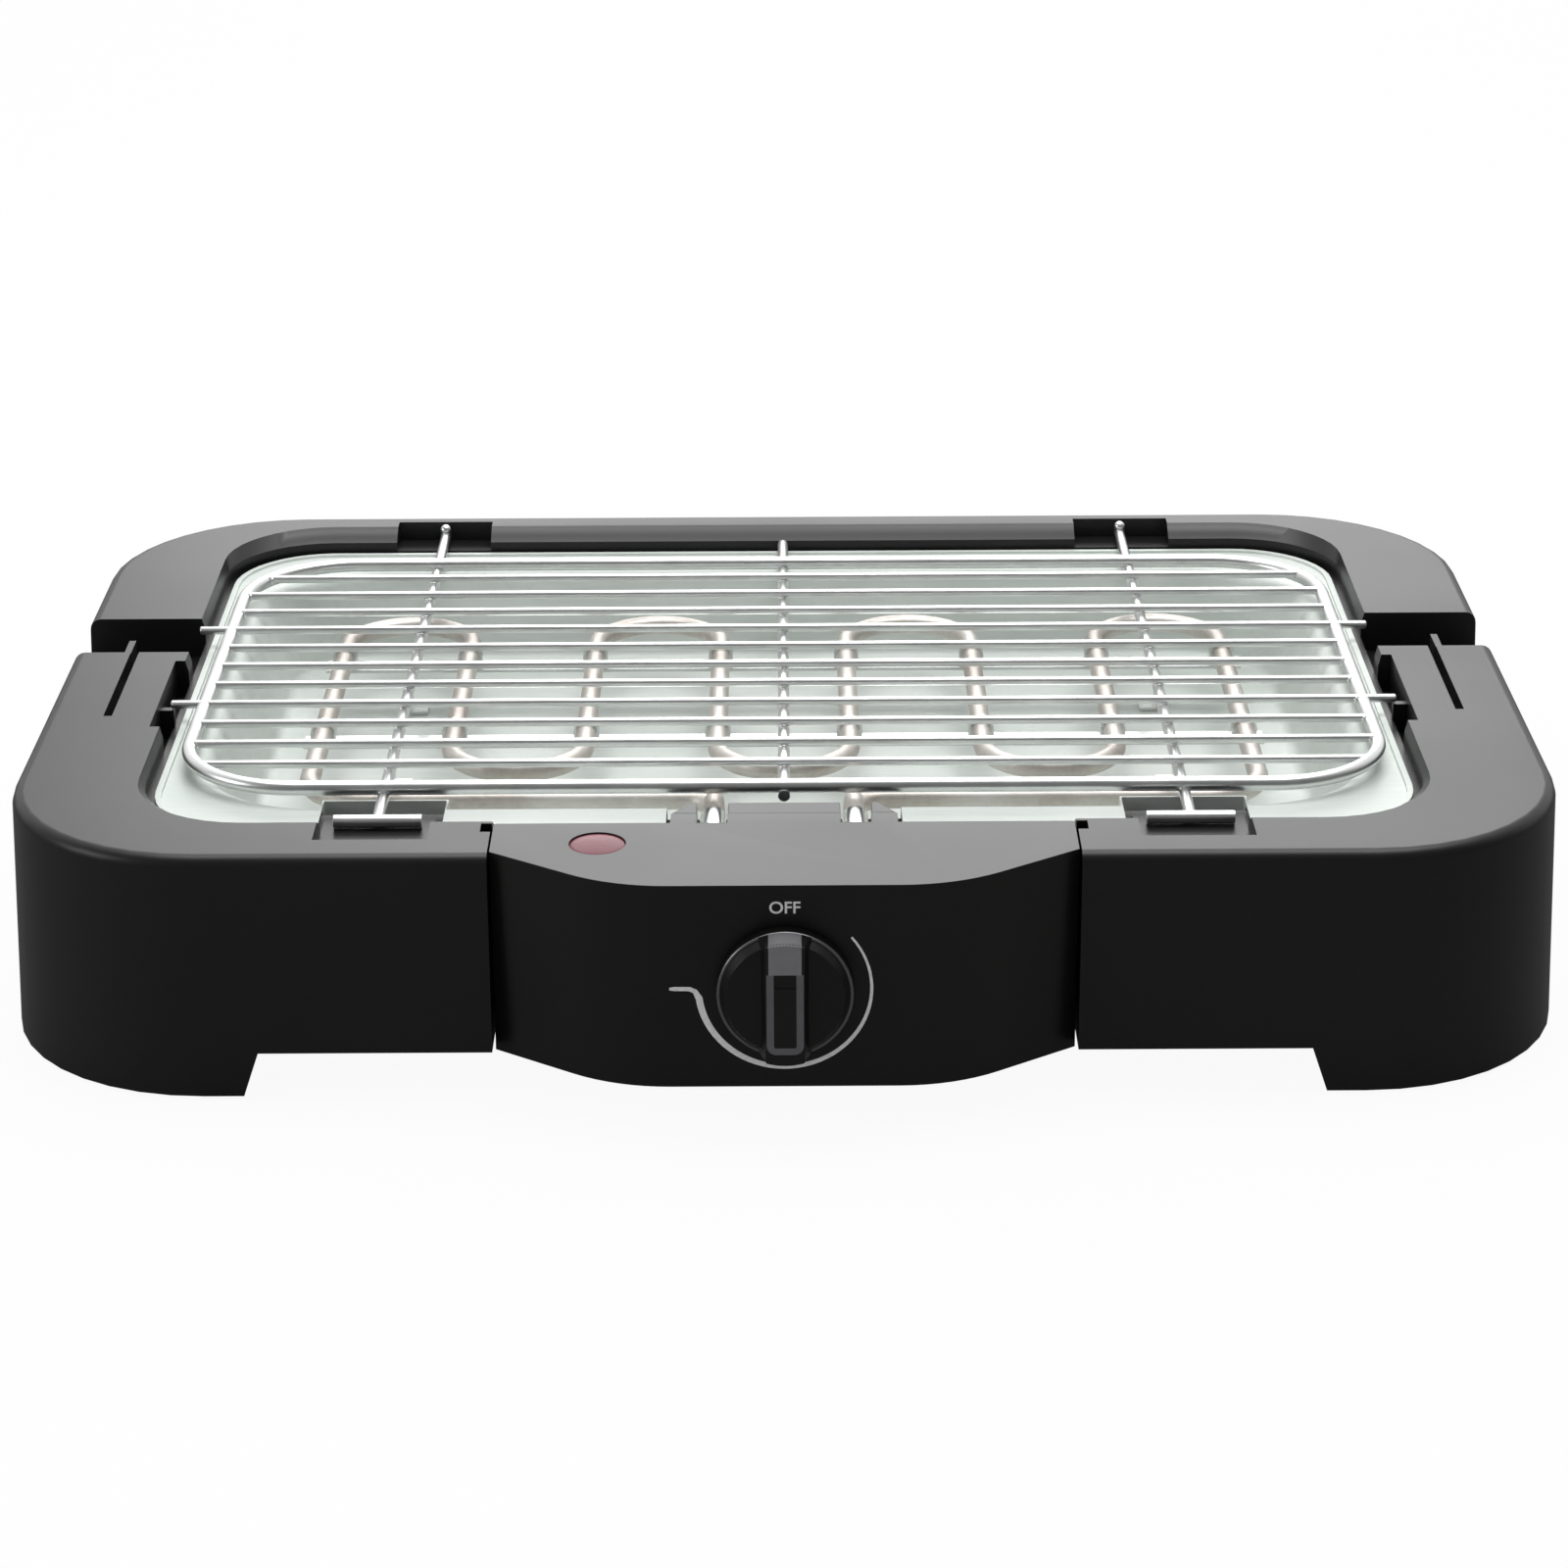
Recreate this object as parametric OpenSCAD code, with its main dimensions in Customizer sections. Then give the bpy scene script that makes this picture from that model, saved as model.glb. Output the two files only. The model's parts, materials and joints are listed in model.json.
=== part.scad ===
// Table-top electric grill: a moulded ring frame, a pressed drip tray, a plug-in
// heating unit with its control housing, and a welded wire grid.
// Millimetres. X is right, Y is back, Z is up. The origin is the centre of the
// footprint, on the table.

/* [Frame] */
// Width of the frame over its feet
frame_w = 520; // [480:1:560]
// Depth of the frame at its rim, without the control housing
frame_d = 345; // [330:1:380]
// Height of the rim above the table
rim_z = 84.5; // [80:0.5:100]
// How far each side leans out from rim to foot
flare = 3; // [0:0.5:6]
// Radius of the outer corners, seen from above
corner_r = 68; // [50:1:90]
// Radius of the outer top edge
edge_r = 4; // [2:0.5:6]
// Thickness of the moulded walls
wall = 3; // [2.5:0.1:4]
// Width of the front rim, seen from above
rim_front_w = 37.2; // [34:0.1:42]
// Width of the rear rim
rim_rear_w = 21; // [18:0.5:30]
// Width of each side rim
rim_side_w = 42.5; // [40:0.5:50]
// Radius of the inner corners
opening_r = 38; // [30:1:45]
// Width of the slope along the front and rear inner edge of the rim
chamfer_w = 8; // [5:0.5:10]
// Width of that slope along the sides
chamfer_side_w = 1; // [0.5:0.5:5]
// Drop of that slope
chamfer_h = 4; // [2:0.5:5]

/* [Feet] */
// Height of the arches between the feet
arch_z = 16.5; // [12:0.5:20]
// Half of the front and rear arch, measured at its top
arch_half = 171; // [150:1:185]
// Length of each foot along the sides
foot_side_l = 75; // [60:1:95]
// Slant of each foot end
foot_slant = 6; // [0:0.5:8]
// Length of a rubber pad
pad_l = 34; // [20:1:36]
// Width of a rubber pad
pad_w = 14; // [10:0.5:18]
// Distance of the pads from the middle
pad_x = 196; // [194:1:204]
// How far the pads stand out under the feet
pad_out = 1.5; // [1:0.1:2.5]

/* [Side cuts] */
// Distance of the cross notch behind the front rim edge
notch_y = 190; // [186:1:200]
// Length of the cross notch
notch_l = 35.5; // [30:0.5:42]
// Depth of the cross notch
notch_depth = 15; // [10:0.5:18]
// Distance of the wind guard slot from the middle
slot_x = 235; // [230:0.5:240]
// Length of the wind guard slot
slot_l = 64; // [40:1:70]
// Width of the wind guard slot
slot_w = 3; // [2:0.1:4]
// Depth of the wind guard slot
slot_depth = 12; // [6:0.5:14]
// Start of the side pocket behind the front rim edge
side_pocket_y = 115.7; // [108:0.1:120]
// Length of the side pocket
side_pocket_l = 65; // [50:1:68]
// Depth of the side pocket into the rim
side_pocket_w = 4.5; // [4:0.5:8]
// Depth of the side pocket below the rim
side_pocket_depth = 14; // [10:0.5:18]

/* [Drip tray] */
// Thickness of the tray sheet
tray_sheet = 0.8; // [0.6:0.1:1.2]
// Depth of the flange top below the rim
flange_drop = 8.5; // [8:0.1:12]
// Gap between the flange and the frame
flange_gap = 3; // [2:0.5:5]
// Width of the flange at the sides
flange_side_w = 12.5; // [8:0.5:14]
// Width of the flange at the front
flange_front_w = 22.4; // [20:0.1:30]
// Width of the flange at the rear
flange_rear_w = 16; // [12:0.5:20]
// Radius of the bowl corners at the flange
bowl_r = 45; // [35:1:55]
// Depth of the bowl below its flange
bowl_depth = 34; // [24:1:38]
// How far the bowl walls lean in
bowl_lean = 9; // [6:0.5:14]
// Radius of the bowl's upper edge
lip_r = 6; // [4:0.5:8]
// Radius of the bowl's floor edge
floor_r = 6; // [4:0.5:9]
// Height of the bead along the flange edge
bead_h = 1; // [0.6:0.1:1.1]
// Width of the bead
bead_w = 2.2; // [1.5:0.1:3]

/* [Grid] */
// Number of thin bars between the front and rear of the loop
bar_count = 11; // [7:2:15]
// Diameter of the thin bars
bar_d = 3; // [2.4:0.1:3.4]
// Diameter of the loop wire
loop_d = 5; // [4:0.1:5.6]
// Diameter of the cross rods
rod_d = 4; // [3.4:0.1:4.2]
// Diameter of the foot wires
foot_wire_d = 4.4; // [4.3:0.1:5]
// Length of the foot wires
foot_wire_l = 29; // [20:1:32]
// Gap between the loop's wire centre and the frame at each side
loop_side_gap = 11; // [8:0.5:16]
// Gap between the loop's wire centre and the frame in front
loop_front_gap = 27.6; // [24:0.1:34]
// Gap between the loop's wire centre and the frame behind
loop_rear_gap = 31.2; // [26:0.1:40]
// Radius of the loop corners, to the wire centre
loop_r = 40; // [25:1:50]
// Distance of the outer cross rods from the middle
rod_x = 133.5; // [120:0.5:150]
// How far the two long bars reach past the loop
bar_reach = 11.5; // [11:0.5:13]

/* [Grid seats] */
// Width of the seats that hold the grid feet
seat_w = 37; // [34:0.5:42]
// How far the front seats reach inwards from the front rim edge
seat_front_in = 50; // [46:0.5:54]
// Distance of the front foot wires from the ends of their seats
foot_in = 6; // [2:0.1:7]
// Depth of a front rim pocket over a seat
pocket_front = 22.6; // [18:0.1:26]
// Depth of a rear rim pocket
pocket_rear = 13.6; // [12.4:0.1:16]

/* [Heating element] */
// Diameter of the heating tube
tube_d = 7; // [6:0.1:8]
// Number of tube legs
leg_count = 8; // [4:4:12]
// Distance between neighbouring legs
leg_pitch = 47; // [30:0.5:48]
// Depth of the heating plane below the rim
element_drop = 20; // [18:0.5:26]
// Depth of the tube ends below the rim
tube_end_drop = 10; // [9.8:0.1:10.8]
// Distance of the front run behind the front rim edge
front_run_y = 95.5; // [94:0.5:102]
// Distance of the front bends behind the front rim edge
front_bend_y = 125; // [118:0.5:132]
// Distance of the rear bends behind the front rim edge
rear_bend_y = 268; // [240:0.5:274]
// Radius of the outer front corners of the tube
tube_corner_r = 20; // [15:0.5:24]
// Radius of the bends that lead the tube ends up
tube_lift_r = 10; // [8:0.5:12]
// Radius of the turns into the front run
tube_turn_r = 11; // [9:0.5:11.5]
// Width of the two support straps
strap_w = 10; // [7:0.5:14]
// Thickness of the support straps
strap_t = 1.2; // [0.8:0.1:2]

/* [Control housing] */
// Half width of the opening between the frame's front ends
bay_half = 95; // [88:0.5:102]
// How far the flat front stands before the frame
bulge = 24; // [18:0.5:30]
// Half width of the flat front, before its corners are rounded
bulge_half = 54; // [48:0.5:60]
// How far the housing's ends sit behind the frame front
end_setback = 4; // [2:0.5:8]
// Radius of the corners of the bulge
bulge_r = 55; // [30:1:80]
// Reach of the slope along the housing's rear top edge
slope_w = 10; // [8:0.5:12]
// Drop of that slope
slope_h = 4; // [3:0.1:4.4]
// Height of the housing's underside above the table
housing_z = 14.5; // [12:0.5:18]
// Gap between the housing and the frame
bay_gap = 0.7; // [0.5:0.1:1.2]
// Thickness of the housing walls
housing_wall = 2.8; // [2.2:0.1:3.2]
// Half width of the neck over the tube ends
neck_half = 37; // [34:0.5:40]
// Reach of the neck behind the front rim edge
neck_y = 48; // [44:0.5:50]
// Drop of the neck's top towards its tip
neck_drop = 1.6; // [1:0.1:2.4]
// Height of the shelf that carries the neck
shelf_z = 66; // [64:0.5:67]

/* [Controls] */
// Height of the knob's axis above the table
knob_z = 49; // [46:0.5:52]
// Diameter of the knob
knob_d = 43.5; // [38:0.5:46]
// Reach of the knob from the housing front
knob_reach = 13; // [12:0.5:18]
// Gap between the knob and the housing
knob_gap = 0.5; // [0.3:0.1:1]
// Width of the grip bar at its root
grip_w = 14; // [11:0.5:16]
// Diameter of the thermostat shaft
shaft_d = 6; // [5:0.1:6.4]
// Diameter of the lamp lens
lens_d = 18; // [14:0.5:20]
// Distance of the lamp from the left end of the opening
lens_in = 35; // [30:0.5:42]
// Distance of the lamp behind the frame front
lens_y = 10.5; // [6:0.5:14]
// Diameter of the safety pin
pin_d = 5; // [4:0.1:6]
// Travel of the safety pin
pin_travel = 3; // [2:0.1:4]
// Bore of the cord inlet
inlet_d = 7.4; // [6:0.1:8]
// Distance of the cord inlet from the right end of the opening
inlet_in = 35; // [27:0.5:45]
// Angle by which the cord inlet points down
inlet_tilt = 10; // [8:1:12]

/* [Hidden] */
// Whole-object layout
total_d = knob_reach + knob_gap + bulge + frame_d + flare;
front = -total_d / 2 + knob_reach + knob_gap + bulge;
function fy(v) = front + v;
eps = 0.01;
corner_steps = 10;
// Fits
run_gap = 0.05;
hole_gap = 0.3;
seat_gap = 0.2;
// Opening in the frame
open_x = frame_w / 2 - flare - rim_side_w;
open_y0 = fy(rim_front_w);
open_y1 = fy(frame_d - rim_rear_w);
open_mid = (open_y0 + open_y1) / 2;
// Levels
foot_z = pad_out;
flange_z = rim_z - flange_drop;
ledge_t = 3;
// Ribs inside the ring
rib_t = 1.8;
rib_xs = [112, 160, 205];
rib_ys = [85, 150, 255, 300];
ledge_z = flange_z - tray_sheet - seat_gap;
bar_z = rim_z - bar_d / 2;
rod_z = bar_z - bar_d / 2 - rod_d / 2;
seat_z = rod_z - foot_wire_d / 2 - seat_gap;
element_z = rim_z - element_drop;
tube_end_z = rim_z - tube_end_drop;
bowl_floor_z = flange_z - bowl_depth;
shield_z = bowl_floor_z - 12;
shield_t = 0.8;
boss_x = open_x - 6;
boss_ys = [open_mid - 95, open_mid, open_mid + 95];
inlet_z = shield_z - inlet_d / 2 - 0.8;
inlet_x = bay_half - inlet_in;
inlet_reach = 1.9;
boss_d = 8;
boss_h = 14;
// Fasteners and terminals
screw_d = 3;
screw_l = 12;
screw_head_d = 5.6;
tab_w = 6.3;
tab_t = 0.8;
tab_l = 7;
lead_d = 2.2;
sleeve_l = 17;
// Tray outline
flange_x = open_x - flange_gap;
flange_y0 = open_y0 + flange_gap - 0.6;
flange_y1 = open_y1 - flange_gap + 1;
flange_r = opening_r - flange_gap + 1;
bowl_x = flange_x - flange_side_w;
bowl_y0 = flange_y0 + flange_front_w;
bowl_y1 = flange_y1 - flange_rear_w;
dent_y = bowl_y0 + 6;
dip_z = tube_end_z - tube_d / 2 - 1;
dip_half = neck_half + 2;
// Grid layout
loop_half = open_x - loop_side_gap;
loop_y0 = open_y0 + loop_front_gap;
loop_y1 = open_y1 - loop_rear_gap;
loop_depth = loop_y1 - loop_y0;
loop_z = rim_z - loop_d / 2;
bar_pitch = loop_depth / (bar_count + 1);
long_bars = [(bar_count + 1) / 2 - 2, (bar_count + 1) / 2 + 2];
front_foot_y = fy(seat_front_in) - foot_wire_d / 2 - foot_in;
rear_foot_y = open_y1 + pocket_rear - foot_wire_d / 2 - 1;
rear_rise = rim_z - rod_z - foot_wire_d / 2 - 0.1;
// Element layout
leg_x0 = -leg_pitch * (leg_count - 1) / 2;
bend_r = leg_pitch / 2;
front_arc_y = fy(front_bend_y) + bend_r - tube_d / 2;
rear_arc_y = fy(rear_bend_y) - bend_r + tube_d / 2;
end_x = bend_r;
run_y = fy(front_run_y);
lift_drop = tube_end_z - element_z;
lift_a = acos(1 - lift_drop / (2 * tube_lift_r));
lift_run = 2 * tube_lift_r * sin(lift_a);
lift_y1 = run_y - tube_turn_r;
lift_y0 = lift_y1 - lift_run;
tube_start_y = fy(14);
straps_y = [front_arc_y + 16, rear_arc_y - 10];
strap_z = element_z - tube_d / 2 - strap_t;
clip_t = 1;
// Control housing layout
bay_x = bay_half - bay_gap;
beam_y0 = open_y0 - wall;
back_y = beam_y0 - bay_gap;
lip_y = open_y0 - 0.4;
slope_y = lip_y - slope_w;
rear_top = rim_z - slope_h - 1.2;
slot_half = tube_d / 2 + 1.6;
front_y = fy(-bulge);
inner_top = rim_z - housing_wall;
inner_floor = housing_z + housing_wall;
back_t = 2.4;
key_y = fy(24);
key_w = 6;
key_in = 2.6;
lens_at = [lens_in - bay_half, fy(lens_y)];
switch_y = (lip_y + fy(neck_y)) / 2;
hood_floor_z = shelf_z + seat_gap + 2.4;
collar_z = hood_floor_z + pin_travel + 0.1;
bush_d = shaft_d + 4;
post_spots = [[-80, 24], [80, 24], [-80, 62], [80, 62]];
bracket_t = 1.5;
stat_y = front_y + housing_wall + bracket_t;
stat_w = 34;
stat_h = 28;
stat_d = 20;
tube_plate_y = lip_y - back_t - 1.5;
block_x = inlet_x - 22;
// Knob layout
knob_y = front_y - knob_gap;
grip_y = knob_y - knob_reach;
pointer_w = 10.5;
pointer_z0 = knob_d / 2 - 16;
pointer_z1 = knob_d / 2 - 1.4;

// Outlines
function arc_pts(c, r, a0, a1, n) =
    [for (i = [0:n]) let (a = a0 + (a1 - a0) * i / n) [c[0] + r * cos(a), c[1] + r * sin(a)]];
function round_rect(w, d, r, n = corner_steps) = concat(
    arc_pts([w / 2 - r, d / 2 - r], r, 0, 90, n),
    arc_pts([r - w / 2, d / 2 - r], r, 90, 180, n),
    arc_pts([r - w / 2, r - d / 2], r, 180, 270, n),
    arc_pts([w / 2 - r, r - d / 2], r, 270, 360, n));

// A rounded slab, given by its half width and its front and rear edges
module slab(xh, y0, y1, r, z, h) {
    translate([0, (y0 + y1) / 2, z]) linear_extrude(h) polygon(round_rect(2 * xh, y1 - y0, r));
}
// A box between two corners
module block(a, b) {
    translate(a) cube(b - a);
}
module both_sides() {
    children();
    mirror([1, 0, 0]) children();
}
// A cylinder that points back along Y from its start
module rod_y(x, y0, y1, z, d, fn = 32) {
    translate([x, y0, z]) rotate([-90, 0, 0]) cylinder(d = d, h = y1 - y0, $fn = fn);
}
module rod_x(x0, x1, y, z, d, fn = 32) {
    translate([x0, y, z]) rotate([0, 90, 0]) cylinder(d = d, h = x1 - x0, $fn = fn);
}

// Frame
module frame_slab(inset, z, h) {
    xh = frame_w / 2 - inset;
    slab(xh, fy(inset - flare), fy(frame_d + flare - inset), corner_r + flare - inset, z, h);
}
module frame_form() {
    hull() {
        frame_slab(0, foot_z, eps);
        for (a = [0:22.5:90])
            frame_slab(flare + edge_r * (1 - cos(a)), rim_z - edge_r + edge_r * sin(a) - eps, eps);
    }
}
module opening(grow, z, h) {
    slab(open_x + grow, open_y0 - grow, open_y1 + grow, opening_r + grow, z, h);
}
module frame_cavity() {
    hull() {
        frame_slab(wall, foot_z - 1, eps);
        frame_slab(flare + wall, rim_z - edge_r - wall, eps);
        frame_slab(flare + wall + edge_r * 0.7, rim_z - wall - eps, eps);
    }
}
module frame_inner_walls() {
    top_band = chamfer_h + wall + 1;
    opening(wall, foot_z - 1, rim_z);
    opening(chamfer_w + wall, rim_z - top_band, top_band + 1);
    block([-bay_half - 6, fy(-bulge), 0], [bay_half + 6, open_y0, rim_z + 1]);
    frame_slab(0, foot_z - 1, wall + 1);
    both_sides() {
        block([open_x, fy(notch_y - wall), rim_z - notch_depth - wall],
            [frame_w, fy(notch_y + notch_l + wall), rim_z + 1]);
        block([slot_x - slot_w / 2 - 2.5, fy(notch_y - slot_l - 2.5), rim_z - slot_depth - 2.5],
            [slot_x + slot_w / 2 + 2.5, fy(notch_y), rim_z + 1]);
        block([open_x, fy(side_pocket_y - wall), rim_z - side_pocket_depth - wall],
            [open_x + side_pocket_w + wall, fy(side_pocket_y + side_pocket_l + wall), rim_z + 1]);
        for (y = [[open_y0 - pocket_front - wall, open_y0], [open_y1 - 1, open_y1 + pocket_rear + wall]])
            block([rod_x - seat_w / 2 - wall, y[0], seat_z - wall],
                [rod_x + seat_w / 2 + wall, y[1], rim_z + 1]);
        for (x = rib_xs)
            block([x - rib_t / 2, fy(-flare), arch_z], [x + rib_t / 2, fy(frame_d + flare), rim_z]);
        for (y = rib_ys) block([open_x, fy(y) - rib_t / 2, arch_z], [frame_w, fy(y) + rib_t / 2, rim_z]);
    }
}
module arch_cuts() {
    z = arch_z;
    translate([0, fy(frame_d + 20), 0]) rotate([90, 0, 0]) linear_extrude(frame_d + 60)
        polygon([[-arch_half - foot_slant, -1], [arch_half + foot_slant, -1],
            [arch_half, z], [-arch_half, z]]);
    translate([-frame_w, 0, 0]) rotate([90, 0, 90]) linear_extrude(2 * frame_w)
        polygon([[fy(foot_side_l - foot_slant), -1], [fy(frame_d - foot_side_l + foot_slant), -1],
            [fy(frame_d - foot_side_l), z], [fy(foot_side_l), z]]);
}
module rim_cuts() {
    both_sides() {
        block([open_x - 1, fy(notch_y), rim_z - notch_depth],
            [frame_w, fy(notch_y + notch_l), rim_z + 1]);
        block([slot_x - slot_w / 2, fy(notch_y - slot_l), rim_z - slot_depth],
            [slot_x + slot_w / 2, fy(notch_y + 1), rim_z + 1]);
        block([open_x - 1, fy(side_pocket_y), rim_z - side_pocket_depth],
            [open_x + side_pocket_w, fy(side_pocket_y + side_pocket_l), rim_z + 1]);
        block([rod_x - seat_w / 2, open_y0 - pocket_front, seat_z],
            [rod_x + seat_w / 2, open_y0 + 1, rim_z + 1]);
        block([rod_x - seat_w / 2, open_y1 - 1, seat_z],
            [rod_x + seat_w / 2, open_y1 + pocket_rear, rim_z + 1]);
        block([bay_half - 1, key_y - key_w / 2 - 0.5, 0],
            [bay_half + key_in + 0.8, key_y + key_w / 2 + 0.5, rim_z + 1]);
    }
    block([-bay_half, fy(-bulge), -1], [bay_half, beam_y0, rim_z + 1]);
    block([-bay_half, fy(-bulge), shelf_z], [bay_half, open_y0 + 1, rim_z + 1]);
    block([inlet_x - 10, fy(0), -1], [inlet_x + 10, open_y0 + eps, rim_z]);
}
module tray_ledge() {
    difference() {
        opening(eps, ledge_z - ledge_t, ledge_t);
        slab(bowl_x + 3, bowl_y0 - 4, bowl_y1 + 4, bowl_r + 2, ledge_z - ledge_t - 1, ledge_t + 2);
        block([-bay_half - 6, fy(0), 0], [bay_half + 6, bowl_y0, rim_z]);
    }
}
module shield_boss(x, y) {
    difference() {
        union() {
            translate([x, y, shield_z + shield_t]) cylinder(d = boss_d, h = boss_h, $fn = 32);
            block([x, y - 1.2, shield_z + shield_t], [open_x + 1, y + 1.2, shield_z + shield_t + boss_h]);
        }
        translate([x, y, shield_z]) cylinder(d = screw_d + 2 * run_gap, h = screw_l, $fn = 24);
    }
}
module base_frame() {
    color("#2b2c2e") union() {
        difference() {
            frame_form();
            opening(0, -1, rim_z + 2);
            difference() {
                frame_cavity();
                frame_inner_walls();
            }
            hull() {
                slab(open_x + chamfer_side_w, open_y0 - chamfer_w, open_y1 + chamfer_w,
                    opening_r + chamfer_side_w, rim_z, 1);
                opening(0, rim_z - chamfer_h, eps);
            }
            arch_cuts();
            rim_cuts();
            for (p = pad_spots()) translate([p[0], p[1], 0]) cylinder(d = 6.2, h = 12, $fn = 32);
        }
        tray_ledge();
        both_sides() {
            block([rod_x - seat_w / 2, open_y0 - 1, ledge_z - ledge_t],
                [rod_x + seat_w / 2, fy(seat_front_in), seat_z]);
            block([open_x - 0.5, loop_y0 + long_bars[0] * bar_pitch - 1.5, rim_z - side_pocket_depth],
                [open_x + side_pocket_w, loop_y0 + long_bars[0] * bar_pitch + 1.5,
                    bar_z - bar_d / 2 - seat_gap]);
            block([slot_x + slot_w / 2 - 0.2, fy(notch_y - 1), rim_z - notch_depth - 1],
                [slot_x + slot_w / 2 + 2.2, fy(notch_y + 12), rim_z]);
            for (y = boss_ys) shield_boss(boss_x, y);
        }
        block([-bay_half - 6, open_y0 - eps, shelf_z - wall], [bay_half + 6, fy(seat_front_in), shelf_z]);
    }
}
function pad_spots() = [for (x = [-pad_x, pad_x], y = [rim_front_w / 2 + 1, frame_d - rim_rear_w / 2])
    [x, fy(y)]];
module rubber_feet() {
    pad = concat(arc_pts([pad_l / 2 - pad_w / 2, 0], pad_w / 2, -90, 90, 10),
        arc_pts([pad_w / 2 - pad_l / 2, 0], pad_w / 2, 90, 270, 10));
    color("#1a1a1a") for (p = pad_spots()) translate([p[0], p[1], 0]) {
        linear_extrude(foot_z) polygon(pad);
        cylinder(d = 6, h = foot_z + wall + 0.4, $fn = 32);
        translate([0, 0, foot_z + wall + 0.4]) cylinder(d1 = 8, d2 = 5, h = 2.6, $fn = 32);
    }
}
module heat_shield() {
    vent_w = 60;
    vent_pitch_x = (2 * open_x - 2 * opening_r) / 2.5;
    vent_pitch_y = (open_y1 - open_y0) / 10;
    color("#9a9da0") difference() {
        slab(open_x - 1, open_y0 + 22, open_y1 - 2, opening_r - 4, shield_z, shield_t);
        both_sides() for (y = boss_ys)
            translate([boss_x, y, shield_z - 1]) cylinder(d = screw_d + 2 * hole_gap, h = 4, $fn = 24);
        for (x = [-1:1], y = [-2:2])
            translate([x * vent_pitch_x, open_mid + y * vent_pitch_y, shield_z])
                cube([vent_w, 4, 4], center = true);
    }
}
module shield_screws() {
    color("#b8bcc0") both_sides() for (y = boss_ys) translate([boss_x, y, shield_z]) {
        cylinder(d = screw_d, h = screw_l - 1, $fn = 24);
        translate([0, 0, -1.8]) cylinder(d1 = screw_head_d - 0.8, d2 = screw_head_d, h = 1.8, $fn = 24);
    }
}

// Drip tray
// The bowl at depth t into its sheet: a rounded lip, leaning walls and a rounded floor edge
module bowl_ring(in, z) {
    slab(bowl_x - in, bowl_y0 + in, bowl_y1 - in, bowl_r - in, z, eps);
}
module bowl_form(t) {
    r = lip_r - tray_sheet + t;
    lip = [for (a = [0:26:78]) [r * sin(a) - lip_r / 2, flange_z - lip_r + r * cos(a)]];
    hull() {
        bowl_ring(lip[0][0], lip[0][1] + (t > 0 ? 2 : 0.1));
        bowl_ring(lip[0][0], lip[0][1]);
    }
    for (i = [0:len(lip) - 2]) hull() {
        bowl_ring(lip[i][0], lip[i][1]);
        bowl_ring(lip[i + 1][0], lip[i + 1][1]);
    }
    hull() {
        bowl_ring(lip[len(lip) - 1][0], lip[len(lip) - 1][1]);
        for (a = [0:30:90])
            bowl_ring(bowl_lean + t + floor_r * (1 - cos(a)), bowl_floor_z + t + floor_r * (1 - sin(a)));
    }
}
module dents(grow) {
    both_sides() block([rod_x - seat_w / 2 - 2 - grow, flange_y0 - 5, 0],
        [rod_x + seat_w / 2 + 2 + grow, dent_y + grow, rim_z]);
}
module drip_tray() {
    color("#d5d8d6") difference() {
        union() {
            slab(flange_x, flange_y0, flange_y1, flange_r, flange_z - tray_sheet, tray_sheet);
            difference() {
                slab(flange_x, flange_y0, flange_y1, flange_r, flange_z - eps, bead_h + eps);
                slab(flange_x - bead_w, flange_y0 + bead_w, flange_y1 - bead_w, flange_r - bead_w,
                    flange_z - 1, 3);
            }
            bowl_form(0);
        }
        difference() {
            bowl_form(tray_sheet);
            dents(tray_sheet);
        }
        dents(0);
        block([-dip_half, flange_y0 - 5, dip_z], [dip_half, bowl_y0 + 5, rim_z]);
        block([-dip_half, flange_y0 - 5, 0], [dip_half, bowl_y0 - 4, rim_z]);
    }
}

// Control housing
function housing_outline(inset) = let (
    x1 = bay_x - inset, x2 = bulge_half - inset * 0.45, y1 = fy(end_setback) + inset * 0.4,
    y2 = front_y + inset, a = atan2(y1 - y2, x1 - x2), r = bulge_r,
    cut = r * tan(a / 2), c = [x2 - cut, y2 + r])
    concat([[x1, back_y]], [[x1, y1]],
        arc_pts(c, r, a - 90, -90, 8),
        arc_pts([-c[0], c[1]], r, -90, -90 - a, 8),
        [[-x1, y1], [-x1, back_y]]);
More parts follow.
